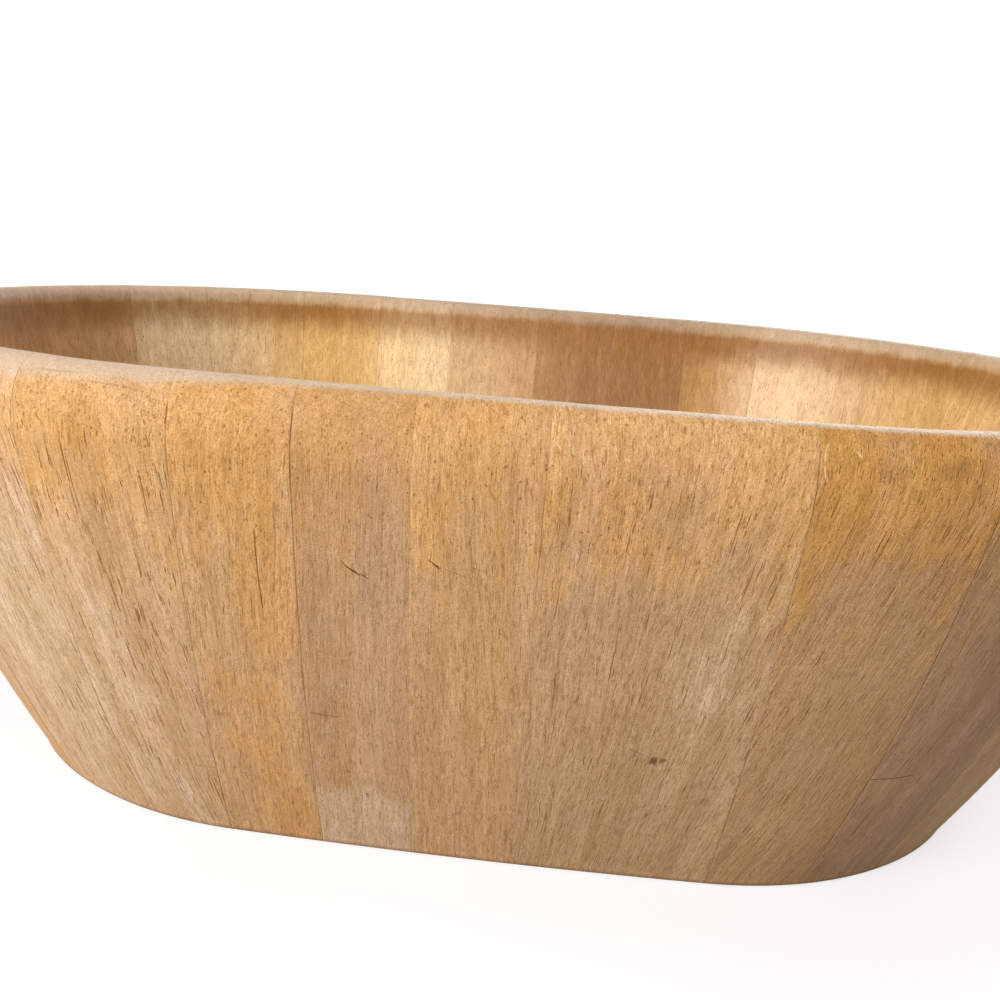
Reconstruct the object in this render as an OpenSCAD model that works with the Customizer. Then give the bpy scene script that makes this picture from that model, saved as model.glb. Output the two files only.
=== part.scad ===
// Oval dough bowl, glued up of flared wooden staves round a let-in bottom of edge-glued boards.
// Millimetres, +Z up. The bowl stands on Z = 0, centred on the origin, with its length along X.
// Seen from above the rim is a four-arc oval: two round ends and two long sides that bow a little.
// Every section of the wall is the same oval drawn in by the same amount, so each stave is one
// wall profile swept round the centre of its arc, and each joint between staves is a plane that
// passes through that centre and meets the wall square. Each side and each end is its own run of
// staves, so no stave crosses from one arc to the next.

/* [Bowl] */
// Length over the rim
length = 373; // [331:2:431]
// Width over the rim
width = 262; // [220:2:300]
// Height from the table to the top of the rim
height = 124; // [100:2:150]
// How far the rim stands out beyond the foot, all round
flare = 44; // [30:1:55]
// How far each long side bows out between the two round ends
side_bow = 1.25; // [0.5:0.25:6]

/* [Wall] */
// How far the outside of the wall bulges beyond a straight slope, halfway up
belly = 4; // [0:0.5:7]
// How far the inside of the wall is hollowed beyond a straight slope, halfway up
hollow = 5; // [0:0.5:7]
// Thickness of the wall at the floor, measured level
wall_t = 14; // [11:0.5:18]
// Width of the cove where the inside of the wall runs into the floor
cove_w = 6; // [2:0.5:9]
// Height of that cove
cove_h = 15; // [8:1:25]
// Radius that breaks the sharp outer edge of the foot
foot_r = 2; // [0.5:0.5:4]

/* [Rim] */
// Thickness of the wall at the top, measured level
rim_t = 12; // [10:0.5:16]
// Height of the rounding outside the rim
rim_round_h = 12; // [5:0.5:16]
// Width of the rounding outside the rim
rim_round_w = 7.5; // [3:0.5:9]
// Radius of the rounding inside the rim
rim_inner_r = 4; // [1:0.5:6]

/* [Bottom] */
// Thickness of the bottom boards, which are flush with the foot
floor_t = 13; // [9:0.5:18]
// How far the bottom is let into the staves, under their lips
rebate = 5; // [2:0.5:7]
// Glue gap between the edge of the bottom and the staves
glue_gap = 0.1; // [0.05:0.05:0.4]

/* [Hidden] */
// Narrowest flat left on top of the rim between its two roundings
rim_flat = 0.5;

// Radius of each round end at the rim, and how far its centre lies from the middle
end_r = width / 2 - side_bow;
end_x = length / 2 - end_r;
// The long side's arc touches both round ends, so its centre lies this far beyond the middle
side_y = (end_x * end_x - side_bow * side_bow) / (2 * side_bow);
side_r = width / 2 + side_y;
side_half = atan2(end_x, side_y);
// The four arcs in order round the oval: centre, radius, first direction, sweep
arcs = [
    [[0, side_y], side_r, 270 - side_half, 2 * side_half],
    [[end_x, 0], end_r, side_half - 90, 180 - 2 * side_half],
    [[0, -side_y], side_r, 90 - side_half, 2 * side_half],
    [[-end_x, 0], end_r, 90 + side_half, 180 - 2 * side_half]
];

// Where the joints between staves fall, as shares along the front side, the right end, the back
// side and the left end. The widths are random, as such bowls are glued up from offcuts.
joint_shares = [
    [0, 0.2, 0.39, 0.598, 1],
    [0, 0.094, 0.186, 0.294, 0.380, 0.489, 0.586, 0.700, 0.813, 0.920, 1],
    [0, 0.230, 0.476, 0.762, 1],
    [0, 0.088, 0.197, 0.285, 0.392, 0.487, 0.594, 0.681, 0.797, 0.911, 1]
];
// The staves in order round the oval: the arc of each, and its first and last share of that arc
staves = [
    for (a = [0 : len(arcs) - 1])
        for (k = [0 : len(joint_shares[a]) - 2])
            [arcs[a], joint_shares[a][k], joint_shares[a][k + 1]]
];

// Where the joints between the bottom boards fall, as shares of the bottom's width
board_shares = [0, 0.27, 0.49, 0.76, 1];
boards = len(board_shares) - 1;

// Steps along the wall, the roundings and the arcs of the bottom's outline
wall_steps = 12;
round_steps = 8;
foot_steps = 3;
outline_steps = [12, 72, 12, 72];
$fn = 720;

// Outside of the wall. The rim's rounding is part of an ellipse, and it starts below the widest
// place, at the turn where the ellipse leans out as steeply as the top of the wall does.
rim_turn = atan((flare - 4 * belly) / (height - rim_round_h) * rim_round_h / rim_round_w);
rim_z = height - rim_round_h;
wall_top = rim_z - rim_round_h * sin(rim_turn);
wall_top_inset = rim_round_w * (1 - cos(rim_turn));

// How far the outside of the wall lies in from the widest place, at height z
function outer_inset(z) =
    let (t = z / wall_top)
    wall_top_inset + (flare - wall_top_inset) * (1 - t) - 4 * belly * t * (1 - t);

// Inside of the wall, at height z: a hollow curve, with the cove added near the floor
inner_foot = outer_inset(floor_t) + wall_t;
function inner_inset(z) =
    let (
        t = (z - floor_t) / (height - floor_t),
        c = max(0, 1 - (z - floor_t) / cove_h)
    )
    rim_t + (inner_foot - rim_t) * (1 - t) - 4 * hollow * t * (1 - t) + cove_w * c * c;
// Lean of the inside just under the rim, where the inner rounding takes over
inner_lean = atan((inner_foot - rim_t - 4 * hollow) / (height - floor_t));
inner_r = min(rim_inner_r, rim_t - rim_round_w - rim_flat);
inner_top = height - inner_r * (1 - sin(inner_lean));
inner_centre = inner_inset(inner_top) - inner_r * cos(inner_lean);

// Rebate that holds the bottom, cut up into the foot of each stave from below
lip_inset = inner_inset(floor_t);
rebate_inset = lip_inset - rebate;

// Section of the wall as [inset, height] points, up the outside and down the inside
foot_inset = outer_inset(foot_r);
wall_section = concat(
    [for (k = [0 : foot_steps - 1])
        let (turn = 90 * (1 - k / foot_steps))
        [foot_inset + foot_r * (1 - cos(turn)), foot_r * (1 - sin(turn))]],
    [for (k = [0 : wall_steps - 1])
        let (z = foot_r + (wall_top - foot_r) * k / wall_steps)
        [outer_inset(z), z]],
    [for (k = [0 : round_steps])
        let (turn = (90 + rim_turn) * k / round_steps - rim_turn)
        [rim_round_w * (1 - cos(turn)), rim_z + rim_round_h * sin(turn)]],
    [for (k = [0 : round_steps - 1])
        let (turn = (90 - inner_lean) * k / round_steps)
        [inner_centre + inner_r * sin(turn), height - inner_r * (1 - cos(turn))]],
    [for (k = [0 : wall_steps - 1])
        let (z = inner_top + (floor_t + cove_h - inner_top) * k / wall_steps)
        [inner_inset(z), z]],
    [for (k = [0 : round_steps])
        let (z = floor_t + cove_h * (1 - k / round_steps))
        [inner_inset(z), z]],
    [[rebate_inset, floor_t], [rebate_inset, 0]]
);

// Tints of the bare wood, from honey through tan to pinkish grey
tints = ["#c99a5f", "#cfa268", "#b98f66", "#c39768", "#c7a274", "#bd9163", "#d0a873"];

function two_digits(n) = str(n < 10 ? "0" : "", n);
function stave_name(i) = str("stave_", two_digits(i + 1));
function board_name(i) = str("bottom_board_", i + 1);

// Closed outline of the oval, drawn in by inset
function oval(inset) = [
    for (a = [0 : len(arcs) - 1])
        for (k = [0 : outline_steps[a] - 1])
            let (turn = arcs[a][2] + arcs[a][3] * k / outline_steps[a])
            arcs[a][0] + (arcs[a][1] - inset) * [cos(turn), sin(turn)]
];

// One stave: the wall's section swept round the centre of its arc, from one joint to the next
module stave(i) {
    arc = staves[i][0];
    from = staves[i][1];
    to = staves[i][2];
    color(tints[(i * 3) % len(tints)])
        translate(arc[0])
            rotate([0, 0, arc[2] + arc[3] * from])
                rotate_extrude(angle = arc[3] * (to - from))
                    polygon([for (p = wall_section) [arc[1] - p[0], p[1]]]);
}

// One board of the bottom, running the length of the bowl, shaped to the oval at its ends
module bottom_board(i) {
    half = width / 2 - rebate_inset - glue_gap;
    from = half * (2 * board_shares[i] - 1);
    to = half * (2 * board_shares[i + 1] - 1);
    color(tints[(i * 2 + 1) % len(tints)])
        linear_extrude(height = floor_t)
            intersection() {
                polygon(oval(rebate_inset + glue_gap));
                translate([-length / 2, from])
                    square([length, to - from]);
            }
}

for (i = [0 : len(staves) - 1]) {
    stave(i);
}
for (i = [0 : boards - 1]) {
    bottom_board(i);
}
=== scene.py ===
"""Oval dough bowl, glued up of flared staves of one pale hardwood round a let-in bottom."""
import math

import bpy
import numpy as np
from mathutils import Matrix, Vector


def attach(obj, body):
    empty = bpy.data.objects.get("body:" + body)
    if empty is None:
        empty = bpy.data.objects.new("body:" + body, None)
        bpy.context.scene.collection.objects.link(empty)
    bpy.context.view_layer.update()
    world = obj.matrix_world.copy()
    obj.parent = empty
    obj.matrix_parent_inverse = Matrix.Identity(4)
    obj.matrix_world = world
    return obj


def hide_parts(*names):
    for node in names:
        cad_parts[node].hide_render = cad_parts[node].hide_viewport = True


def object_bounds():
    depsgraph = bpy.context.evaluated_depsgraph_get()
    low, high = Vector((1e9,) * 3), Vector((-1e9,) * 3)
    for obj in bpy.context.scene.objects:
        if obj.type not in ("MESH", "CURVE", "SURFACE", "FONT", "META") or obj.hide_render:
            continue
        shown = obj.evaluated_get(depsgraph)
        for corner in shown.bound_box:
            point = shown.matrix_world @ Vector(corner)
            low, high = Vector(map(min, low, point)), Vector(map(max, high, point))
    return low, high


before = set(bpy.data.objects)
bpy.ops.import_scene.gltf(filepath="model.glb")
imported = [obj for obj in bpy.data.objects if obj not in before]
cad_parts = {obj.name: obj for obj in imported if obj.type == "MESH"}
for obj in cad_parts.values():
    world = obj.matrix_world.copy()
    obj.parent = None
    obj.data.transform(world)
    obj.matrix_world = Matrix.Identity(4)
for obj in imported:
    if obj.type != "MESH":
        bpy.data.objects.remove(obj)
frame_low, frame_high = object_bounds()


# The front long side: four upright staves of random width, sanded to one flared, slightly
# bellied curve with a bullnose rim. Their wood is pale tan with open brown pores, turned
# honey yellow near the rim, and their joints show as fine dark glue lines.
mm = 0.001
length = frame_high.x - frame_low.x
width = frame_high.y - frame_low.y
height = frame_high.z
flare = 44 * mm
side_bow = 1.25 * mm
belly = 4 * mm
hollow = 5 * mm
wall_t = 14 * mm
cove_w = 6 * mm
cove_h = 15 * mm
foot_r = 2 * mm
rim_t = 12 * mm
rim_round_h = 12 * mm
rim_round_w = 7.5 * mm
rim_inner_r = 4 * mm
floor_t = 13 * mm
rebate = 5 * mm

end_r = width / 2 - side_bow
end_x = length / 2 - end_r
side_y = (end_x**2 - side_bow**2) / (2 * side_bow)
side_r = width / 2 + side_y
side_half = math.atan2(end_x, side_y)
quarter = math.pi / 2
# The four arcs of the oval: centre x and y, radius, first direction and sweep
front_arc = (0, side_y, side_r, 3 * quarter - side_half, 2 * side_half)
right_arc = (end_x, 0, end_r, side_half - quarter, 2 * (quarter - side_half))
back_arc = (0, -side_y, side_r, quarter - side_half, 2 * side_half)
left_arc = (-end_x, 0, end_r, quarter + side_half, 2 * (quarter - side_half))


def ease(value, low, high):
    """Smooth step: 0 up to low, 1 from high, and 3t^2 - 2t^3 of the share t between them."""
    t = np.clip((value - low) / (high - low), 0, 1)
    return t * t * (3 - 2 * t)


rim_z = height - rim_round_h
rim_turn = math.atan((flare - 4 * belly) / rim_z * rim_round_h / rim_round_w)
wall_top = rim_z - rim_round_h * math.sin(rim_turn)
wall_top_inset = rim_round_w * (1 - math.cos(rim_turn))


def outer_inset(z):
    """How far the outside lies in from the widest place: a straight slope less a parabola.
    Above the wall it goes on at the slope of the wall's top."""
    t = np.minimum(z, wall_top) / wall_top
    beyond = np.maximum(z - wall_top, 0) * (4 * belly - flare + wall_top_inset) / wall_top
    slope = wall_top_inset + (flare - wall_top_inset) * (1 - t)
    return slope - 4 * belly * t * (1 - t) + beyond


inner_foot = float(outer_inset(floor_t)) + wall_t


def inner_inset(z):
    """The same for the inside: a slope less a parabola, plus a squared term for the cove."""
    t = (z - floor_t) / (height - floor_t)
    cove = np.maximum(0, 1 - (z - floor_t) / cove_h)
    slope = rim_t + (inner_foot - rim_t) * (1 - t)
    return slope - 4 * hollow * t * (1 - t) + cove_w * cove**2


inner_lean = math.atan((inner_foot - rim_t - 4 * hollow) / (height - floor_t))
inner_top = height - rim_inner_r * (1 - math.sin(inner_lean))
inner_centre = float(inner_inset(inner_top)) - rim_inner_r * math.cos(inner_lean)
lip_inset = float(inner_inset(floor_t))
rebate_inset = lip_inset - rebate


def evenly(points, spacing):
    """Points spaced evenly along a line of [inset, height] points, without its last one."""
    steps = np.hypot(*np.diff(points, axis=0).T)
    along = np.concatenate([[0], np.cumsum(steps)])
    places = np.linspace(0, along[-1], max(2, math.ceil(along[-1] / spacing)) + 1)[:-1]
    return np.stack([np.interp(places, along, points[:, k]) for k in (0, 1)], axis=1)


def wall_section(spacing):
    """The closed section of the wall as [inset, height] rows, up the outside, over the rim,
    down the inside, and back under the lip, the rebate and the foot. The rim's outside is
    part of an ellipse and its inside part of a circle."""
    fine = np.linspace(0, 1, 400)[:, None]
    turn = quarter * (1 - fine)
    foot = np.hstack([outer_inset(foot_r) + foot_r * (1 - np.cos(turn)),
                      foot_r * (1 - np.sin(turn))])
    z = foot_r + (wall_top - foot_r) * fine
    outside = np.hstack([outer_inset(z), z])
    turn = (quarter + rim_turn) * fine - rim_turn
    rim = np.hstack([rim_round_w * (1 - np.cos(turn)), rim_z + rim_round_h * np.sin(turn)])
    turn = (quarter - inner_lean) * fine
    inner_rim = np.hstack([inner_centre + rim_inner_r * np.sin(turn),
                           height - rim_inner_r * (1 - np.cos(turn))])
    z = inner_top + (floor_t - inner_top) * fine
    inside = np.hstack([inner_inset(z), z])
    skin = np.vstack([foot, outside[1:], rim[1:], inner_rim[1:], inside[1:]])
    corners = np.array([[lip_inset, floor_t], [rebate_inset, floor_t], [rebate_inset, 0],
                        foot[0]])
    under = [evenly(corners[k:k + 2], 2 * spacing) for k in range(3)]
    return np.vstack([evenly(skin, spacing), *under])


spacing = 1.0 * mm
section = wall_section(spacing)
rows = len(section)
section_along = np.concatenate([[0], np.cumsum(np.hypot(*np.diff(section, axis=0).T))])
crest = int(np.argmax(section[:, 1]))
lip = int(np.argmax((section[:, 0] > lip_inset - 1e-6) & (np.arange(rows) > crest)))
# Outward direction of the section at each row, square to the line through its neighbours
tangent = np.roll(section, -1, axis=0) - np.roll(section, 1, axis=0)
tangent /= np.hypot(*tangent.T)[:, None]
section_out = np.stack([-tangent[:, 1], tangent[:, 0]], axis=1)

groove_w = 0.07 * mm
groove_d = 0.022 * mm
# Hand sanding leaves each stave this much below the plain wall, in mm, and faintly wavy
sanded_off = (0.01, 0.09)
wave_depth = 0.05 * mm
# How dark each joint's glue line is at rising heights, as (height, darkness) pairs
joint_a = [(0, 0.5), (15, 0.7), (40, 0.55), (70, 0.35), (100, 0.4), (110, 0.8), (117, 1),
           (119, 0.1)]
joint_b = [(0, 0.35), (30, 0.45), (60, 0.5), (76, 0.7), (118, 0.8), (121, 0.4), (124, 0.1)]
joint_b2 = [(0, 0.2), (30, 0.06), (124, 0.03)]
joint_c = [(0, 0.08), (50, 0.15), (100, 0.25), (116, 0.3), (123, 0.1)]
joint_d = [(0, 0.8), (30, 0.9), (50, 0.6), (70, 0.3), (95, 0.25), (110, 0.45), (122, 0.3)]
joint_plain = [(0, 1.0), (60, 0.9), (110, 0.8), (122, 0.5)]
joint_dark = {"27/28": joint_d, "28/01": joint_a, "01/02": joint_b, "02/03": joint_b2,
              "03/04": joint_c, "04/05": joint_d}

# Stains and tones on the outside: distance round the rim from the middle of the front and
# height, then half width and half height, all in mm, the kind of tone, strength and stave
patches = [
    (-84, 106, 24, 13, "amber", 0.5, 28), (-104, 108, 22, 13, "amber", 0.6, 27),
    (-52, 110, 15, 16, "amber", 0.9, 1),
    (-44.5, 80, 8, 24, "amber", 1.0, 1), (-50, 34, 8, 34, "amber", 0.6, 1),
    (-42, 10, 9, 18, "amber", 0.7, 1), (-55, 50, 6, 12, "amber", 0.4, 1),
    (-19, 88, 7, 26, "grey", 0.6, 2), (-18, 50, 5, 45, "grey", 0.3, 2),
    (-33, 70, 6, 40, "grey", 0.4, 2), (-30, 103, 9, 10, "grey", 0.35, 2),
    (-4, 96, 14, 20, "amber", 0.4, 3),
    (24, 104, 14, 14, "amber", 0.4, 4), (16, 70, 5, 45, "amber", 0.2, 4),
    (40, 30, 24, 34, "grey", 0.35, 4), (50, 70, 12, 24, "pale", 0.4, 4),
    (89, 110, 16, 13, "amber", 0.9, 5), (76, 117, 6, 3.5, "dark", 0.25, 5),
    (90, 117, 8, 4, "dark", 0.25, 5), (86, 104, 9, 5, "dark", 0.16, 5),
    (78, 55, 10, 30, "grey", 0.3, 5), (118, 114, 24, 14, "amber", 0.7, 6),
    (-92, 46, 20, 52, "pale", 0.5, 28), (-112, 60, 26, 70, "pale", 0.6, 27),
    (-76, 20, 12, 30, "pale", 0.4, 28), (-150, 60, 30, 60, "pale", 0.4, 26),
    (-135, 108, 24, 12, "amber", 0.5, 26),
]
# Cracks, dents and scratches: stave, distance from its left joint, height, length, all in
# mm, turn from the upright in degrees, width in mm, darkness (pale if negative) and bend
marks = [
    (1, 16.8, 84, 20, 1, 0.22, 0.65, 0.002),
    (2, 10.6, 87.2, 2.4, 40, 0.2, 0.7, 0.0), (2, 12.0, 86.2, 2.6, 58, 0.28, 1.0, 0.05),
    (2, 14.2, 85.2, 2.6, 62, 0.16, 0.6, 0.0), (3, 4.6, 90.0, 1.8, 52, 0.18, 0.6, 0.0),
    (3, 5.6, 89.2, 1.8, 55, 0.3, 1.0, 0.0), (3, 9.5, 88, 5, 72, 0.14, 0.25, 0.0),
    (3, 18.1, 111.9, 0.5, 0, 0.6, 0.9, 0.0), (4, 29.6, 42.9, 1.6, 80, 1.5, 0.85, 0.0),
    (4, 31.5, 43.2, 1.3, 60, 1.2, 0.75, 0.0), (4, 25.4, 45.2, 3.5, 62, 0.3, 0.3, 0.0),
    (6, 5.8, 40.2, 11.5, 90, 0.2, 0.75, 0.01), (28, 9, 121.9, 8, 91, 0.24, 0.25, 0.01),
    (28, 22.4, 120.6, 15, 86, 0.22, 0.2, -0.008), (1, 1.6, 123.2, 0.5, 0, 0.45, 0.8, 0.0),
    (27, 6.2, 42.5, 6.5, 84, 0.2, 0.5, 0.03), (28, 24.5, 24, 7, 92, 0.16, 0.45, 0.01),
    (2, 8.6, 28.6, 1.2, 50, 0.3, 0.5, 0.0), (2, 12.8, 21.0, 2.0, 4, 0.5, 0.5, 0.0),
    (3, 7.6, 26.5, 0.7, 0, 0.5, 0.6, 0.0),
    (5, 1.0, 119.6, 3.4, -10, 0.24, -0.9, 0.08), (5, 1.1, 115.8, 3.0, 12, 0.24, -0.8, 0.1),
    (4, 1.4, 117.0, 1.8, 40, 0.3, -0.8, 0.0), (4, 4.4, 116.2, 1.6, 10, 0.3, -0.6, 0.2),
    (4, 6.7, 114.8, 2.0, 20, 0.3, -0.7, 0.0), (4, 14.9, 115.3, 1.2, 60, 0.3, -0.7, 0.0),
    (5, 7.3, 119.6, 1.6, 40, 0.35, -0.8, 0.0), (2, 4.2, 46.3, 7, 86, 0.5, 0.3, 0.01),
]
# A point without a mark is far off the line and past its ends, and its strength is 0
no_mark = [9.0, 9.0, 0.0]
kinds = ["amber", "grey", "pale", "dark"]


def stains_on(number, place, z, outside):
    """Strength of each kind of stain on one stave: ellipses that are full up to 0.3 of their
    half sizes and fade out by 1.4 of them. Stave 2 is also pale all along its foot, up to
    13 mm, fading out by 30 mm."""
    stain = np.zeros(z.shape + (4,))
    for centre, high, half_w, half_h, kind, strength, only in patches:
        if only == number:
            apart = np.hypot((place - centre) / half_w, (z / mm - high) / half_h)
            layer = strength * (1 - ease(apart, 0.3, 1.4)) * outside
            k = kinds.index(kind)
            stain[..., k] = np.maximum(stain[..., k], layer)
    if number == 2:
        foot_patch = 1.1 * (1 - ease(z / mm, 13, 30)) * outside
        stain[..., 2] = np.maximum(stain[..., 2], foot_patch)
    return stain


def marks_on(number, off_left, outside):
    """The mark nearest to each point of one stave: how far off its line the point is, in half
    widths of the line, how far past its ends, in mm, and the mark's strength, which fades
    out 2.5 to 4 mm away. A line bends by the square of the distance from its middle."""
    best = np.full(off_left.shape, 1e3)
    mark = np.tile(no_mark, (*off_left.shape, 1))
    for only, off, high, long, turn, wide_mm, strength, bend in marks:
        if only == number:
            centre = np.interp(high * mm, section[:crest, 1], section_along[:crest])
            a = off_left - off
            b = (section_along[:, None] - centre) / mm
            c, s = math.cos(math.radians(turn)), math.sin(math.radians(turn))
            lengthwise = b * c - a * s
            off_line = (a * c + b * s - bend * lengthwise**2) / (wide_mm / 2)
            past = np.abs(lengthwise) - long / 2
            apart = np.hypot(off_line * wide_mm / 2, np.maximum(past, 0))
            nearest = (apart < best) & outside
            best = np.where(nearest, apart, best)
            close = 1 - ease(apart, 2.5, 4)
            mark[nearest] = np.stack([off_line, past, strength * close], -1)[nearest]
    return mark


# How pale the crest of the rim is, as (place round the rim in mm, paleness) pairs: worn pale,
# paler along the front partly as a painted highlight, and darker round the back as painted shade
crest_wear_and_light = [(0, 1), (150, 0.9), (300, 0.5), (350, 0.1), (385, 0.4), (420, 0.4), (443, 0.1),
               (475, 0), (520, 0.1), (580, 0.45), (622, 0.5), (745, 0.45), (850, 0.6), (950, 0.9),
               (1042, 1)]
# Tone of the varnished inside at places round the rim, in mm counted anticlockwise (seen from
# above) from the middle of the front, as red, green and blue screen values, and then how
# strong the painted shade band under the rim is there. The tones are the wood's own, but paler
# with painted reflections of the window at 428, 563, 650 and 685, and darker, partly as painted
# shade, from 465 to 500 and at 745.
inner_tones_and_light = [
    (0, 226, 184, 134, 0.6), (300, 228, 184, 128, 0.8), (345, 214, 174, 108, 1.0),
    (385, 212, 172, 116, 0.9), (428, 236, 200, 146, 0.85), (446, 188, 142, 80, 1.0),
    (465, 150, 106, 58, 0.6), (500, 150, 106, 58, 0.5), (528, 206, 166, 116, 0.8),
    (563, 244, 216, 162, 0.8), (590, 236, 194, 122, 0.85), (622, 230, 186, 112, 0.95),
    (650, 248, 220, 172, 0.8), (685, 252, 230, 188, 0.8), (715, 210, 170, 120, 0.9),
    (745, 182, 130, 60, 0.9), (850, 220, 176, 124, 0.8), (1042, 226, 184, 134, 0.6),
]


def smooth_mesh(name, points, faces):
    """A mesh that is shaded smooth, but sharp where faces meet at more than 40 degrees."""
    mesh = bpy.data.meshes.new(name)
    mesh.from_pydata(points, [], faces)
    mesh.polygons.foreach_set("use_smooth", np.ones(len(mesh.polygons), bool))
    mesh.set_sharp_from_angle(angle=math.radians(40))
    return mesh


def show(name, data):
    """Makes an object of a mesh, lamp or camera and links it to the scene."""
    made = bpy.data.objects.new(name, data)
    bpy.context.scene.collection.objects.link(made)
    return made


def put(mesh, name, kind, values):
    """Stores values, one for each point of the grid, as a named attribute of the mesh."""
    field = "color" if kind == "FLOAT_COLOR" else "vector"
    attribute = mesh.attributes.new(name, kind, "POINT")
    attribute.data.foreach_set(field, np.ascontiguousarray(values, np.float32).ravel())


def paint(red, green, blue):
    """Colours given as 0 to 255 screen values, made linear by the sRGB curve, with alpha 1."""
    shares = np.stack([red, green, blue, np.full_like(red, 255, dtype=float)], -1) / 255
    return np.where(shares > 0.04045, ((shares + 0.055) / 1.055) ** 2.4, shares / 12.92)


def stave(name, number, arc, first, last, leans, seed):
    """One stave as a closed grid: the wall's section carried round its arc from share first
    to share last. Its joint edges are eased by a fine groove. The grid also holds, at each
    point, its place in the block of wood that the stave was cut from, and how near it is to
    a joint, a stain and a mark."""
    cx, cy, radius, start, sweep = arc
    across_w = radius * sweep * (last - first)
    columns = max(8, round(across_w / spacing))
    share = np.concatenate([[0, groove_w / across_w],
                            np.linspace(0, 1, columns + 1)[1:-1],
                            [1 - groove_w / across_w, 1]])
    arc_share = first + (last - first) * share
    angle = start + sweep * arc_share
    inset = section[:, 0][:, None] + np.zeros_like(angle)
    z = section[:, 1][:, None] + np.zeros_like(angle)
    rng = np.random.default_rng(seed)
    level = rng.uniform(*sanded_off) * mm
    reach = radius * sweep * arc_share
    along = section_along[:, None]
    wave = (np.sin(along / (11 * mm) + reach / (17 * mm) + seed)
            + np.sin(along / (23 * mm) - reach / (9 * mm) + 2 * seed))
    edge = ease(np.minimum(share, 1 - share) * across_w, 0, 6 * mm)
    skin = ease(z, 0, 4 * mm) * ((np.arange(rows) < lip)[:, None])
    drop = level * skin + wave_depth * (1 + wave / 2) * edge * skin
    drop[:, [0, -1]] += np.where(np.arange(rows) > crest, 0.2, 1)[:, None] * groove_d
    inset = inset - drop * section_out[:, 0][:, None]
    z = z - drop * section_out[:, 1][:, None]
    reach_r = radius - inset
    x = cx + reach_r * np.cos(angle)
    y = cy + reach_r * np.sin(angle)
    points = np.stack([x, y, z], axis=-1)

    wide = len(angle)
    i, j = np.meshgrid(np.arange(rows), np.arange(wide - 1), indexing="ij")
    up = (i + 1) % rows
    quads = np.stack([i * wide + j, i * wide + j + 1, up * wide + j + 1, up * wide + j], axis=-1)
    left_edge = np.arange(rows) * wide
    caps = [left_edge.tolist(), (left_edge + wide - 1)[::-1].tolist()]
    mesh = smooth_mesh(name, points.reshape(-1, 3), [*quads.reshape(-1, 4).tolist(), *caps])

    # Place in the block of wood, in mm: across the stave, in from its outside, and up its
    # slope from halfway, which is 1.08 times as long as it is high. The grain leans by the
    # slopes given at the left and the right edge. In staves 3 to 7 depth counts for less, so
    # that their pores show longer across the rim.
    mid = start + sweep * (first + last) / 2
    across = ((y - cy) * math.cos(mid) - (x - cx) * math.sin(mid)) / mm
    depth = (radius - np.hypot(x - cx, y - cy) - outer_inset(z)) / mm
    up_slope = (z / mm - 60) * 1.08
    left_lean, right_lean = leans
    fan = (right_lean - left_lean) / (across_w / mm)
    across = (across - (left_lean + right_lean) / 2 * up_slope) / (1 + fan * up_slope)
    turned_in = 0.3 if number in (3, 4, 5, 6, 7) else 0.85
    block = np.stack([across, turned_in * depth + 0.02 * up_slope, up_slope], -1)
    put(mesh, "grain", "FLOAT_VECTOR", block + rng.uniform(100, 900, 3))

    # Nearness to the joints, and how dark the glue line is there: by height outside, and
    # one value inside
    from_left = share * across_w / mm
    from_right = (1 - share) * across_w / mm
    joints = f"{(number - 2) % 28 + 1:02d}/{number:02d}", f"{number:02d}/{number % 28 + 1:02d}"
    darks = [np.interp(z / mm, *np.array(joint_dark.get(key, joint_plain)).T) for key in joints]
    dark = np.where(from_left < from_right, darks[0], darks[1])
    dark = np.where((np.arange(rows) > crest)[:, None], 0.7 if number in (13, 14) else 0.5, dark)
    near = np.minimum(from_left, from_right) + np.zeros_like(z)

    # Distance round the rim from the middle of the front, in mm, and how far the pale crest reaches
    # down the outside there: worn by hands and sanding, and narrowest along the front, where it is
    # partly a painted highlight
    side_w, end_w = side_r * 2 * side_half, end_r * right_arc[4]
    arc_start = {front_arc: -side_w / 2, right_arc: side_w / 2,
                 back_arc: side_w / 2 + end_w, left_arc: -side_w / 2 - end_w}[arc]
    place = (arc_start + reach) / mm + np.zeros_like(z)
    worn_and_lit = np.interp(place, [-300, -120, -90, -37, 0, 90, 150], [5, 8, 7, 2.8, 2.2, 2.2, 5])

    # Zones: the crest of the rim, which fades out 5.5 to 9 mm down the inside, and the inside
    down = (section_along - section_along[crest])[:, None] / mm + np.zeros_like(z)
    crest_zone = ease(down / worn_and_lit, -1.3, -0.7) * (1 - ease(down, 5.5, 9))
    inside_zone = ease(down, 1, 5) * (np.arange(rows) < lip)[:, None]
    put(mesh, "zone", "FLOAT_VECTOR", np.stack([crest_zone, inside_zone, 0 * z], -1))
    all_round = 2 * (side_w + end_w) / mm
    around_from_front = place % all_round
    table = np.array(inner_tones_and_light)
    # Each stave keeps partly to one tone, so that the tone steps a little at the joints
    stave_mid = (place.min() + place.max()) / 2
    toned_at = (place + 0.33 * (stave_mid - place)) % all_round
    tones = [np.interp(toned_at, table[:, 0], table[:, k]) for k in (1, 2, 3, 4)]
    inner = paint(*tones[:3])
    # Its alpha holds the crest's paleness: wear, with a painted highlight along the front and
    # painted shade at the back
    inner[..., 3] = np.interp(around_from_front, *np.array(crest_wear_and_light).T)
    put(mesh, "inner", "FLOAT_COLOR", inner)
    # The joint attribute's third value is the strength of the painted shade band under the rim
    # inside
    put(mesh, "joint", "FLOAT_VECTOR", np.stack([near, dark, tones[3]], -1))

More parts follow.
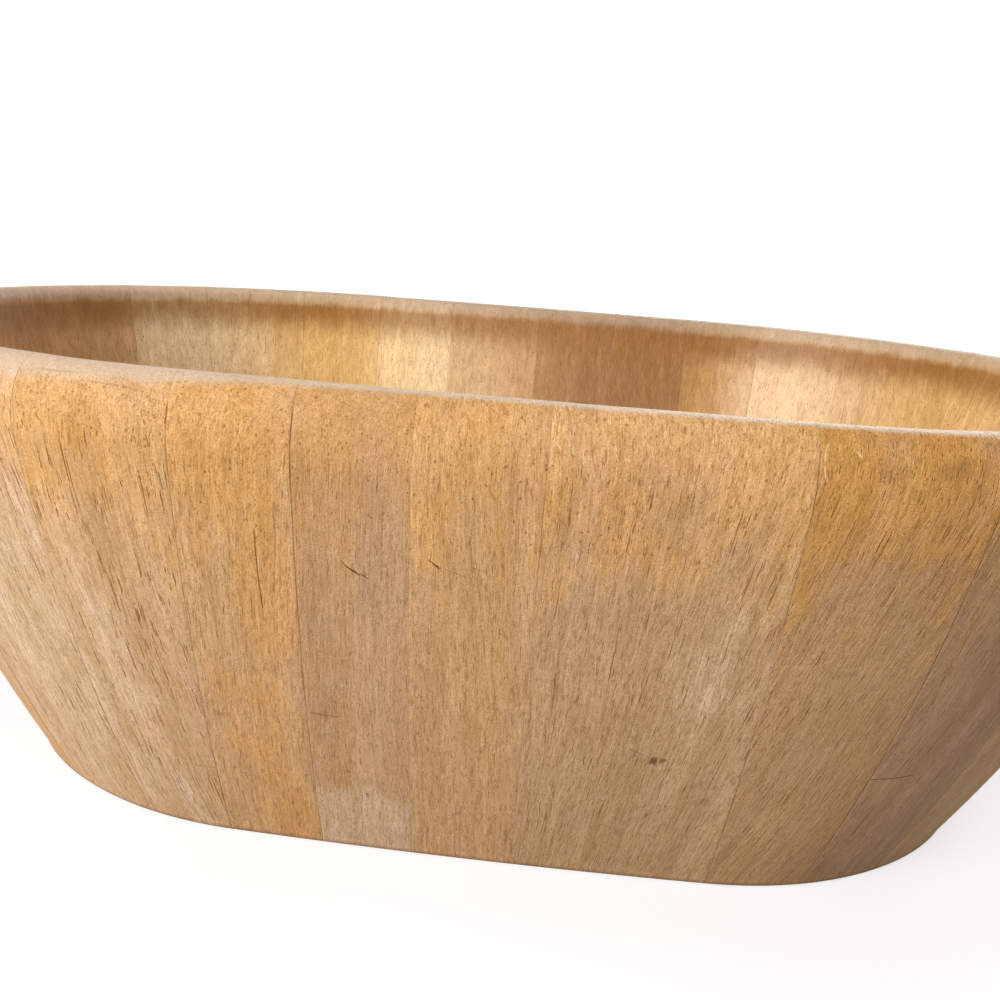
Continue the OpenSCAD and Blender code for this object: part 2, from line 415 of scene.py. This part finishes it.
    outside = (np.arange(rows) <= crest)[:, None]
    put(mesh, "stain", "FLOAT_COLOR", stains_on(number, place, z, outside))
    off_left = (angle - angle[0]) * reach_r / mm
    put(mesh, "mark", "FLOAT_VECTOR", marks_on(number, off_left, outside))

    return show(name, mesh)


def step(tree, kind, inputs=None, **settings):
    """Adds one shader node, applies its settings, and links or sets the inputs given."""
    made = tree.nodes.new(kind)
    for key, value in settings.items():
        setattr(made, key, value)
    for socket, value in (inputs or {}).items():
        if isinstance(value, bpy.types.NodeSocket):
            tree.links.new(value, made.inputs[socket])
        else:
            made.inputs[socket].default_value = value
    return made


def stave_wood(name, tone, honey, rosy=0.4, pores=1.0, fine=1.0, relief=1.0, lines=1.0, blots=0.5):
    """Open-pored hardwood in one tone. It is a solid pattern in the block's own place: slow
    drift bends the grain, stretched noise gives streaks and fibres, and long thin cells hold
    the pores, which show as dashes along the wall and as dots across the rim. Hands have
    turned the top to honey, and the inside keeps its varnish and the tone held in the mesh,
    which carries painted reflections and painted shade. The crest is worn pale, with a
    painted highlight along the front and painted shade at the back, and under the rim inside
    lies a band of painted shade. The other values scale the rosy bands, the pores, the finest
    flecks, the relief, how long and strong the drawn lines are, and how many brown blots there
    are."""
    material = bpy.data.materials.new(name)
    material.use_nodes = True
    tree = material.node_tree
    tree.nodes.clear()

    def math_step(operation, a, b=0.0, c=0.0, clamp=False):
        inputs = {0: a, 1: b, 2: c} if operation == "MULTIPLY_ADD" else {0: a, 1: b}
        return step(tree, "ShaderNodeMath", inputs, operation=operation, use_clamp=clamp).outputs[0]

    def vector_step(operation, a, b):
        socket = "Scale" if operation == "SCALE" else 1
        return step(tree, "ShaderNodeVectorMath", {0: a, socket: b}, operation=operation).outputs[0]

    def smooth(value, low, high):
        return step(tree, "ShaderNodeMapRange", {"Value": value, "From Min": low, "From Max": high},
                    interpolation_type="SMOOTHSTEP").outputs[0]

    def blend(share, a, b):
        return step(tree, "ShaderNodeMix", {0: share, 6: a, 7: b}, data_type="RGBA").outputs[2]

    def times(*values):
        product = values[0]
        for value in values[1:]:
            product = math_step("MULTIPLY", product, value)
        return product

    def noise(place, sizes, detail, rough=0.5):
        scaled = vector_step("MULTIPLY", place, [1 / size for size in sizes])
        return step(tree, "ShaderNodeTexNoise",
                    {"Vector": scaled, "Scale": 1, "Detail": detail, "Roughness": rough})

    def lookup(attribute):
        return step(tree, "ShaderNodeAttribute", attribute_name=attribute)

    def parts(vector):
        return step(tree, "ShaderNodeSeparateXYZ", {0: vector}).outputs

    z = parts(step(tree, "ShaderNodeTexCoord").outputs["Object"])[2]
    grain = lookup("grain").outputs["Vector"]
    drift = noise(grain, (38, 38, 70), 1).outputs["Color"]
    drift = vector_step("MULTIPLY", vector_step("SUBTRACT", drift, (0.5, 0.5, 0.5)), (5, 1.2, 0))
    bent = vector_step("ADD", grain, drift)
    streaks = noise(bent, (4.0, 4.0, 130), 4, 0.6).outputs[0]
    bands = noise(bent, (10, 10, 200), 2).outputs[0]
    cloud = noise(bent, (8, 8, 17), 4, 0.62).outputs[0]
    fibres = noise(bent, (0.35, 0.5, 2.6), 3, 0.65).outputs[0]
    threads = noise(bent, (0.6, 0.9, 11), 3, 0.65).outputs[0]
    speckle = noise(grain, (0.24, 0.24, 0.4), 2, 0.7).outputs[0]
    clusters = noise(bent, (3, 3, 14), 2).outputs[0]
    ripples = noise(bent, (2.2, 2.2, 5.5), 3, 0.6).outputs[0]
    wiggle = noise(grain, (1.3, 1.3, 2.6), 2).outputs["Color"]
    wiggle = vector_step("SUBTRACT", wiggle, (0.5, 0.5, 0.5))
    wiggle = vector_step("MULTIPLY", wiggle, (0.7, 0.7, 1.5))
    wavy = vector_step("ADD", bent, wiggle)
    # Where the wood's lines are strong, its longest pores run straighter
    straight = vector_step("ADD", bent, vector_step("SCALE", wiggle, 1 / lines**2))
    ragged = math_step("SUBTRACT", cloud, 0.5)
    blot = smooth(noise(bent, (0.9, 0.9, 3.2), 2).outputs[0], 0.54, 0.74)

    def pore_field(place, sizes, least, most, soft):
        """Depth of the pores: radius, random by cell, less distance to the cell's own line,
        once sharp for the colour and once soft for the relief."""
        scaled = vector_step("MULTIPLY", place, [1 / size for size in sizes])
        field = step(tree, "ShaderNodeTexVoronoi", {"Vector": scaled, "Scale": 1})
        chance = step(tree, "ShaderNodeSeparateColor", {0: field.outputs["Color"]}).outputs[0]
        radius = math_step("MULTIPLY_ADD", chance, most - least, least)
        depth = math_step("SUBTRACT", radius, field.outputs["Distance"])
        sharp = math_step("DIVIDE", depth, soft, clamp=True)
        dished = math_step("DIVIDE", math_step("ADD", depth, soft), 3 * soft, clamp=True)
        return sharp, dished

    dash_w, long_w = 0.6 / lines**0.5, 0.9 / lines**0.5
    dashes, dash_dips = pore_field(wavy, (dash_w, dash_w, 12), 0.03, 0.25 * lines**0.6, 0.07)
    long_dashes, long_dips = pore_field(straight, (long_w, long_w, 50), 0.02,
                                        0.17 * lines**0.7, 0.05)
    flecks, fleck_dips = pore_field(wavy, (0.4, 0.4, 3), 0.1, 0.4, 0.1)
    dots, dot_dips = pore_field(wavy, (1.2, 1.2, 1.7), 0.02, 0.27, 0.08)
    open_share = math_step("MULTIPLY_ADD", smooth(clusters, 0.38, 0.6), 0.75, 0.25)
    pore = math_step("MAXIMUM", dashes, times(long_dashes, 0.9))
    near_rim = math_step("SUBTRACT", 1.0, times(smooth(z, 0.104, 0.12), 0.5))
    pore = times(pore, open_share, near_rim, pores)
    pore = math_step("MAXIMUM", pore, times(flecks, 0.45 * fine))
    # Towards the rim the wall leans across the grain, and more pores are cut through as dots
    dotted_share = math_step("MULTIPLY_ADD", smooth(z, 0.082, 0.102), 0.6, 0.3)
    pore = math_step("MAXIMUM", pore, times(dots, dotted_share, fine))

    on_crest, inside, _ = parts(lookup("zone").outputs["Vector"])
    frayed = times(on_crest, math_step("SUBTRACT", 1.0, on_crest), ragged)
    on_crest = math_step("MULTIPLY_ADD", frayed, 6.0, on_crest, clamp=True)
    off_joint, joint_darkness, rim_shade_strength = parts(lookup("joint").outputs["Vector"])
    off_mark, past_mark, mark_strength = parts(lookup("mark").outputs["Vector"])
    stain_node = lookup("stain")
    amber, grey, pale = step(tree, "ShaderNodeSeparateColor",
                             {0: stain_node.outputs["Color"]}).outputs
    dark = stain_node.outputs["Alpha"]

    # Honey towards the rim, with a cloudy edge, and rosy or greyer bands along the grain
    lifted = math_step("MULTIPLY_ADD", ragged, 0.09, z)
    colour = blend(times(smooth(lifted, 0.076, 0.112), 0.9), tone, honey)
    colour = blend(times(smooth(bands, 0.42, 0.66), rosy), colour, paint(190, 146, 114))
    colour = blend(times(smooth(cloud, 0.5, 0.68), 0.12), colour, paint(214, 168, 104))
    inner = lookup("inner")
    # The inside takes the tone held in the mesh, with its painted reflections and painted shade
    colour = blend(times(inside, 0.85), colour, inner.outputs["Color"])

    def spread(amount, strength, toned):
        """Blends in one kind of stain, its edge made ragged by the cloudy noise."""
        edged = math_step("ADD", amount, times(ragged, 1.7, smooth(amount, 0.0, 0.25)))
        return blend(times(smooth(edged, 0.12, 0.75), strength), colour, toned)

    colour = spread(amber, 0.55, paint(218, 160, 90))
    colour = spread(grey, 0.5, paint(176, 140, 108))
    colour = spread(pale, 0.7, paint(218, 186, 150))
    colour = spread(dark, 0.9, paint(130, 86, 48))
    # Under the rim on the inside lies a band of painted shade in dark amber, its strength round the
    # rim held in the mesh
    uneven = math_step("MULTIPLY_ADD", ragged, 0.012, z)
    under_rim_shade = math_step("SUBTRACT", smooth(uneven, 0.104, 0.116), on_crest, clamp=True)
    rim_shade_band = times(inside, under_rim_shade, rim_shade_strength, 0.95)
    colour = blend(rim_shade_band, colour, paint(150, 101, 42))
    # The crest's colour: worn pale, lightest along the front partly as a painted highlight, and
    # duller towards the back as painted shade
    worn_and_lit = blend(inner.outputs["Alpha"], paint(182, 155, 127), paint(218, 190, 163))
    colour = blend(times(on_crest, 0.85), colour, worn_and_lit)

    # Light and dark swings, calmer on the crest and inside, and browner where they darken
    shade = 1.0
    calm = math_step("SUBTRACT", 1.0, times(on_crest, 0.5))
    calmer = times(calm, math_step("SUBTRACT", 1.0, times(inside, 0.45)))
    for value, amount, share in ((streaks, 0.6, calm), (bands, 0.3, calm), (cloud, 0.28, calm),
                                 (fibres, 0.7, calmer), (threads, 1.0, calmer),
                                 (speckle, 1.5, calmer), (ripples, 0.7, inside)):
        swing = times(math_step("SUBTRACT", value, 0.5), share)
        shade = math_step("MULTIPLY", shade, math_step("MULTIPLY_ADD", swing, amount, 1.0))
    browner = step(tree, "ShaderNodeCombineXYZ",
                   {0: math_step("POWER", shade, 0.8), 1: shade, 2: math_step("POWER", shade, 1.5)})
    colour = vector_step("MULTIPLY", colour, browner.outputs[0])
    colour = blend(times(blot, calmer, 0.45 * blots), colour, paint(144, 97, 50))
    colour = blend(times(pore, calm, 0.8), colour, paint(140, 90, 42))

    # The foot's edge is darker, fully over its lowest 0.4 mm and fading out by 2.4 mm
    foot_edge = math_step("SUBTRACT", 1.0, smooth(z, 0.0004, 0.0024))
    colour = blend(times(foot_edge, 0.55), colour, paint(128, 84, 54))

    # Glue lines, thin and broken, and fainter inside
    line = math_step("SUBTRACT", 1.0, smooth(off_joint, 0.04, 0.19))
    broken = math_step("MULTIPLY_ADD", smooth(cloud, 0.4, 0.56), 0.65, 0.35)
    dotted = math_step("MULTIPLY_ADD", smooth(speckle, 0.42, 0.58), 0.5, 0.5)
    line = times(line, joint_darkness, broken, dotted)
    colour = blend(line, colour, paint(104, 62, 26))

    # Marks: full on the line and short of its ends, dark above zero and pale below
    rugged = math_step("MULTIPLY_ADD", math_step("SUBTRACT", speckle, 0.5), 2.5,
                       math_step("ABSOLUTE", off_mark))
    on_line = math_step("SUBTRACT", 1.0, smooth(rugged, 0.6, 1.7))
    on_line = times(on_line, math_step("SUBTRACT", 1.0, smooth(past_mark, -0.5, 0.4)))
    dark_mark = math_step("MULTIPLY", on_line, mark_strength, clamp=True)
    pale_mark = math_step("MULTIPLY", on_line, times(mark_strength, -1.0), clamp=True)
    colour = blend(dark_mark, colour, paint(102, 62, 28))
    colour = blend(pale_mark, colour, paint(238, 206, 158))

    # Relief: fibres stand up, and pores, marks and glue lines lie low
    dips = math_step("MAXIMUM", dash_dips, long_dips)
    sunk = math_step("MULTIPLY_ADD", fibres, 0.4, times(threads, 0.35))
    sunk = math_step("ADD", sunk, times(ripples, inside, 4.0))
    sunk = math_step("SUBTRACT", sunk, times(dips, 0.3 * relief))
    sunk = math_step("SUBTRACT", sunk, times(fleck_dips, 0.3))
    sunk = math_step("SUBTRACT", sunk, times(dot_dips, dotted_share, 0.3))
    sunk = math_step("SUBTRACT", sunk, times(dark_mark, 2.0))
    sunk = math_step("SUBTRACT", sunk, line)
    quiet = math_step("SUBTRACT", 1.0, times(inside, 0.6))
    bump = step(tree, "ShaderNodeBump", {"Strength": quiet, "Distance": 0.16 * relief * mm,
                                         "Height": sunk})

    # Bare wood is dull, the rubbed crest is smoother, and the varnished inside shines
    rough = math_step("MULTIPLY_ADD", fibres, 0.2, 0.6)
    off_crest = math_step("SUBTRACT", 1.0, on_crest)
    rough = math_step("SUBTRACT", rough, times(inside, off_crest, 0.42))
    rough = math_step("SUBTRACT", rough, times(on_crest, 0.22))
    rough = math_step("ADD", rough, times(rim_shade_band, 0.2))
    shader = step(tree, "ShaderNodeBsdfPrincipled",
                  {"Base Color": colour, "Roughness": rough, "Normal": bump.outputs[0],
                   "IOR": 1.45, "Specular IOR Level": 0.3})
    step(tree, "ShaderNodeOutputMaterial", {0: shader.outputs[0]})
    return material


# Staves cut from other boards are lighter or darker, in turn, all round the back and the ends
board_shades = [0.86, 1.1, 0.95, 1.14, 0.9]


def fit_staves(arc, shares, first_number, woods):
    """Makes the run of staves on one arc in place of the plain ones. Each has its own wood,
    and its grain leans to the right going up by one slope at its left edge and by another
    at its right edge."""
    for k, (wood, slot, leans) in enumerate(woods):
        number = first_number + k
        name = f"wood_stave_{number:02d}"
        made = stave(name, number, arc, shares[k], shares[k + 1], leans, 11 * number + 5)
        shade = board_shades[number % len(board_shades)] if 6 < number < 27 else 1
        shaded = {key: wood[key] * [shade, shade, shade, 1] for key in ("tone", "honey")}
        made.data.materials.append(stave_wood(name, **{**wood, **shaded}))
        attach(made, "root")
        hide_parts(f"stave_{number:02d}")


honey_top = paint(220, 168, 106)
honey = dict(tone=paint(212, 167, 117), honey=honey_top, rosy=0.45,
             pores=0.9, lines=1.2, blots=1.0)
coarse_honey = dict(tone=paint(214, 172, 126), honey=honey_top, pores=1.5,
                    fine=0.8, lines=2.2)
dry_honey = dict(tone=paint(194, 151, 105), honey=paint(204, 147, 73),
                 fine=0.8, relief=1.6, lines=1.6)
pinkish = dict(tone=paint(204, 160, 115), honey=paint(209, 157, 96), rosy=0.35,
               pores=0.9, lines=1.1)
tan = dict(tone=paint(210, 165, 114), honey=paint(215, 162, 99), rosy=0.25,
           pores=0.8, lines=1.2, blots=1.0)
dry_tan = dict(tone=paint(203, 162, 119), honey=honey_top, rosy=0.3,
               pores=1.0, fine=0.8, relief=1.3, lines=1.5, blots=0.9)
grey_brown = dict(tone=paint(198, 158, 116), honey=paint(214, 166, 108))
dry_brown = dict(tone=paint(182, 142, 104), honey=paint(210, 160, 100),
                 fine=0.8, relief=1.6, lines=1.6)
cream = dict(tone=paint(216, 178, 134), honey=honey_top, pores=1.5, lines=2.2)
fit_staves(front_arc, [0, 0.2, 0.39, 0.598, 1], 1,
           [(honey, "honey_wood", (0.0, 0.03)), (pinkish, "pinkish_wood", (0.03, 0.0)),
            (tan, "tan_wood", (-0.02, -0.04)), (dry_tan, "tan_wood", (0.0, 0.17))])


# The right end: ten staves of the same wood round a half circle. Those towards the front
# have the coarser, raised pores that a dry, worn surface shows.
fit_staves(right_arc, [0, 0.094, 0.186, 0.294, 0.380, 0.489, 0.586, 0.700, 0.813, 0.920, 1], 5,
           [(dry_honey, "honey_wood", (0.14, 0.22)), (dry_brown, "grey_brown_wood", (0.1, 0.05)),
            (tan, "tan_wood", (0.1, 0.1)), (pinkish, "pinkish_wood", (0.0, -0.04)),
            (honey, "honey_wood", (-0.08, -0.05)), (grey_brown, "grey_brown_wood", (0.06, 0.06)),
            (tan, "tan_wood", (-0.03, -0.1)), (grey_brown, "grey_brown_wood", (0.1, 0.04)),
            (honey, "honey_wood", (-0.05, 0.0)),
            (pinkish, "pinkish_wood", (0.02, 0.06))])


# The back long side: four staves like those of the front, seen in the photo's view only
# from inside, where the wood has kept its varnish.
fit_staves(back_arc, [0, 0.230, 0.476, 0.762, 1], 15,
           [(tan, "tan_wood", (0.05, 0.05)),
            (grey_brown, "grey_brown_wood", (-0.08, -0.03)),
            (pinkish, "pinkish_wood", (0.0, 0.1)), (honey, "honey_wood", (0.06, 0.0))])


# The left end: ten staves, the last two of them towards the front, where the wood pales to
# cream and its pores run long.
fit_staves(left_arc, [0, 0.088, 0.197, 0.285, 0.392, 0.487, 0.594, 0.681, 0.797, 0.911, 1], 19,
           [(tan, "tan_wood", (0.04, 0.0)), (grey_brown, "grey_brown_wood", (-0.06, -0.06)),
            (pinkish, "pinkish_wood", (0.08, 0.02)), (honey, "honey_wood", (0.0, -0.05)),
            (tan, "tan_wood", (-0.05, -0.05)), (grey_brown, "grey_brown_wood", (0.05, 0.1)),
            (pinkish, "pinkish_wood", (0.0, -0.04)), (tan, "tan_wood", (-0.1, 0.0)),
            (cream, "cream_wood", (0.05, -0.08)), (coarse_honey, "honey_wood", (-0.13, -0.05))])


# The bottom: four boards glued edge to edge, cut to the oval and let into the rebate at
# the foot of the staves. They lie along the bowl, flush with the foot.
glue_gap = 0.1 * mm
board_shares = [0, 0.27, 0.49, 0.76, 1]
bottom_inset = rebate_inset + glue_gap
half_bottom = width / 2 - bottom_inset
# Points across and along a board, and how far an outer board stops short of its sharp tips
board_rows, board_columns = 36, 181
tip_cut = 0.4 * mm


def half_width_at(x):
    """Half the bottom's width at x: the side's long arc, then the circle of the end."""
    on_side = np.sqrt((side_r - bottom_inset) ** 2 - x**2) - side_y
    beyond = np.maximum(np.abs(x) - end_x, 0)
    on_end = np.sqrt(np.maximum((end_r - bottom_inset) ** 2 - beyond**2, 0))
    return np.where(np.abs(x) <= end_x * (side_r - bottom_inset) / side_r, on_side, on_end)


def half_length_at(y):
    """Half the bottom's length at y, where the end's circle cuts a board off."""
    return end_x + np.sqrt(np.maximum((end_r - bottom_inset) ** 2 - y**2, 0))


def bottom_board(name, low, high, seed, varnished):
    """One board as two grids, underside and top, joined by their rims. A middle board ends on
    the end's circle; an outer one has a straight edge at its joint and the oval beyond it."""
    across = np.linspace(0, 1, board_rows)
    along = np.sin(np.linspace(-quarter, quarter, board_columns))
    is_outer = low <= -half_bottom or high >= half_bottom
    joint_y = high if low <= -half_bottom else low
    if is_outer:
        x = (half_length_at(np.array(abs(joint_y))) - tip_cut) * along[None, :]
        far = math.copysign(1, (low + high) / 2) * half_width_at(x)
        y = joint_y + (far - joint_y) * across[:, None]
        x = x + np.zeros_like(y)
        if joint_y == high:
            x, y = x[::-1], y[::-1]
    else:
        y = (low + (high - low) * across)[:, None] + np.zeros((1, board_columns))
        x = half_length_at(y) * along[None, :]
    count, wide = y.shape
    top = np.stack([x, y, np.full_like(x, floor_t)], -1)
    under = np.stack([x, y, np.zeros_like(x)], -1)
    points = np.concatenate([under.reshape(-1, 3), top.reshape(-1, 3)])
    i, j = np.meshgrid(np.arange(count - 1), np.arange(wide - 1), indexing="ij")
    a, b, c, d = (i * wide + j, i * wide + j + 1, (i + 1) * wide + j + 1, (i + 1) * wide + j)
    lift = count * wide
    faces = [np.stack([a, d, c, b], -1).reshape(-1, 4),
             np.stack([a, b, c, d], -1).reshape(-1, 4) + lift]
    loop = np.concatenate([np.arange(wide), np.arange(1, count) * wide + wide - 1,
                           (count - 1) * wide + np.arange(wide - 2, -1, -1),
                           np.arange(count - 2, 0, -1) * wide])
    after = np.roll(loop, -1)
    faces.append(np.stack([loop, after, after + lift, loop + lift], -1))
    mesh = smooth_mesh(name, points, np.concatenate(faces).tolist())
    rng = np.random.default_rng(seed)
    block = np.stack([points[:, 1], points[:, 2], points[:, 0]], -1) / mm
    put(mesh, "grain", "FLOAT_VECTOR", block + rng.uniform(100, 900, 3))
    near = np.minimum(np.abs(points[:, 1] - low), np.abs(points[:, 1] - high)) / mm
    if is_outer:
        near = np.abs(points[:, 1] - joint_y) / mm
    put(mesh, "joint", "FLOAT_VECTOR", np.stack([near, np.ones_like(near), 0 * near], -1))
    inside = (points[:, 2] > floor_t / 2).astype(float)
    put(mesh, "zone", "FLOAT_VECTOR", np.stack([0 * inside, inside, 0 * inside], -1))
    put(mesh, "stain", "FLOAT_COLOR", np.zeros((len(points), 4)))
    put(mesh, "inner", "FLOAT_COLOR", np.tile(varnished, (len(points), 1)))
    put(mesh, "mark", "FLOAT_VECTOR", np.tile(no_mark, (len(points), 1)))
    return show(name, mesh)


for number, (wood, slot, varnished) in enumerate([
        (tan, "tan_wood", paint(218, 176, 122)),
        (honey, "honey_wood", paint(206, 154, 96)),
        (pinkish, "pinkish_wood", paint(204, 164, 122)),
        (tan, "tan_wood", paint(212, 164, 106))], 1):
    low, high = (half_bottom * (2 * share - 1) for share in board_shares[number - 1:number + 1])
    name = f"wood_bottom_board_{number}"
    board = bottom_board(name, low, high, 400 + number, varnished)
    board.data.materials.append(stave_wood(name, **wood))
    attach(board, "root")
    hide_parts(f"bottom_board_{number}")


# The studio: a white floor that keeps the bowl's shadow and fades to plain white, one wide
# soft window to the left behind the camera that glints on the varnished inside, a weaker one
# behind to the right, a dim ceiling, and weak light from all round.
floor_half = 6.0


def seen_directly(tree):
    """1 for rays from the camera and in mirror-like or clear surfaces, and 0 for the rest."""
    rays = step(tree, "ShaderNodeLightPath").outputs
    seen = step(tree, "ShaderNodeMath", {0: rays["Is Camera Ray"], 1: rays["Is Glossy Ray"]},
                operation="MAXIMUM").outputs[0]
    return step(tree, "ShaderNodeMath", {0: seen, 1: rays["Is Transmission Ray"]},
                operation="MAXIMUM").outputs[0]


floor_mesh = bpy.data.meshes.new("studio_floor")
corners = [(-1, -1), (1, -1), (1, 1), (-1, 1)]
floor_mesh.from_pydata([(floor_half * x, floor_half * y, 0) for x, y in corners], [],
                       [(0, 1, 2, 3)])
white = bpy.data.materials.new("studio_white")
white.use_nodes = True
white_tree = white.node_tree
white_tree.nodes.clear()
spot = step(white_tree, "ShaderNodeTexCoord").outputs["Object"]
away = step(white_tree, "ShaderNodeVectorMath", {0: spot}, operation="LENGTH").outputs["Value"]
far = step(white_tree, "ShaderNodeMapRange",
           {"Value": away, "From Min": 0.25, "From Max": 0.9, "To Min": 0.7, "To Max": 1.0},
           interpolation_type="SMOOTHSTEP")
glow = step(white_tree, "ShaderNodeMath", {0: far.outputs[0], 1: seen_directly(white_tree)},
            operation="MULTIPLY")
matt = step(white_tree, "ShaderNodeBsdfDiffuse", {"Color": (0.45, 0.45, 0.45, 1)})
lifted = step(white_tree, "ShaderNodeEmission", {"Strength": glow.outputs[0]})
summed = step(white_tree, "ShaderNodeAddShader", {0: matt.outputs[0], 1: lifted.outputs[0]})
step(white_tree, "ShaderNodeOutputMaterial", {0: summed.outputs[0]})
floor_mesh.materials.append(white)
studio_floor = show("studio_floor", floor_mesh)


def soft_lamp(name, place, aim, wide, tall, power):
    """A rectangular area lamp at place that faces aim."""
    data = bpy.data.lights.new(name, "AREA")
    data.shape = "RECTANGLE"
    data.size = wide
    data.size_y = tall
    data.energy = power
    lamp = show(name, data)
    lamp.location = place
    aimed = np.subtract(aim, place)
    aimed = aimed / np.linalg.norm(aimed)
    lamp.rotation_euler = (math.acos(-aimed[2]), 0, math.atan2(-aimed[0], aimed[1]))


middle = (0, 0, 0.07)
soft_lamp("window", (-0.88, -1.18, 0.64), middle, 1.1, 0.6, 24)
soft_lamp("ceiling", (-0.2, 0.0, 1.7), middle, 1.0, 1.0, 8)
soft_lamp("back window", (0.75, 1.2, 0.8), middle, 1.4, 0.8, 11)

world = bpy.data.worlds.new("studio_world")
bpy.context.scene.world = world
world.use_nodes = True
world_tree = world.node_tree
world_tree.nodes.clear()
level = step(world_tree, "ShaderNodeMapRange",
             {"Value": seen_directly(world_tree), "To Min": 0.14})
glow = step(world_tree, "ShaderNodeBackground",
            {"Color": (1, 1, 1, 1), "Strength": level.outputs[0]})
step(world_tree, "ShaderNodeOutputWorld", {0: glow.outputs[0]})

# The camera stands a little above the rim and close to the front, tipped slightly to its
# left, as the photo was taken.
camera_place = (12.6 * mm, -334.4 * mm, 156.7 * mm)
camera_turn = math.radians(-4.443)
camera_dip = math.radians(14.610)
camera_tip = math.radians(-4.123)
ahead = np.array([math.sin(camera_turn) * math.cos(camera_dip),
                  math.cos(camera_turn) * math.cos(camera_dip), -math.sin(camera_dip)])
level_right = np.array([math.cos(camera_turn), -math.sin(camera_turn), 0])
level_up = np.cross(level_right, ahead)
right = math.cos(camera_tip) * level_right - math.sin(camera_tip) * level_up
upward = math.sin(camera_tip) * level_right + math.cos(camera_tip) * level_up
camera_data = bpy.data.cameras.new("camera")
camera_data.sensor_width = 36
camera_data.lens = 39.6
camera_data.shift_x = 0.0367
camera_data.shift_y = 0.0070
camera_data.clip_start = 0.01
camera = show("camera", camera_data)
turned = np.eye(4)
turned[:3] = np.stack([right, upward, -ahead, camera_place], axis=1)
camera.matrix_world = Matrix(turned.tolist())
bpy.context.scene.camera = camera
bpy.context.scene.view_settings.view_transform = "Standard"
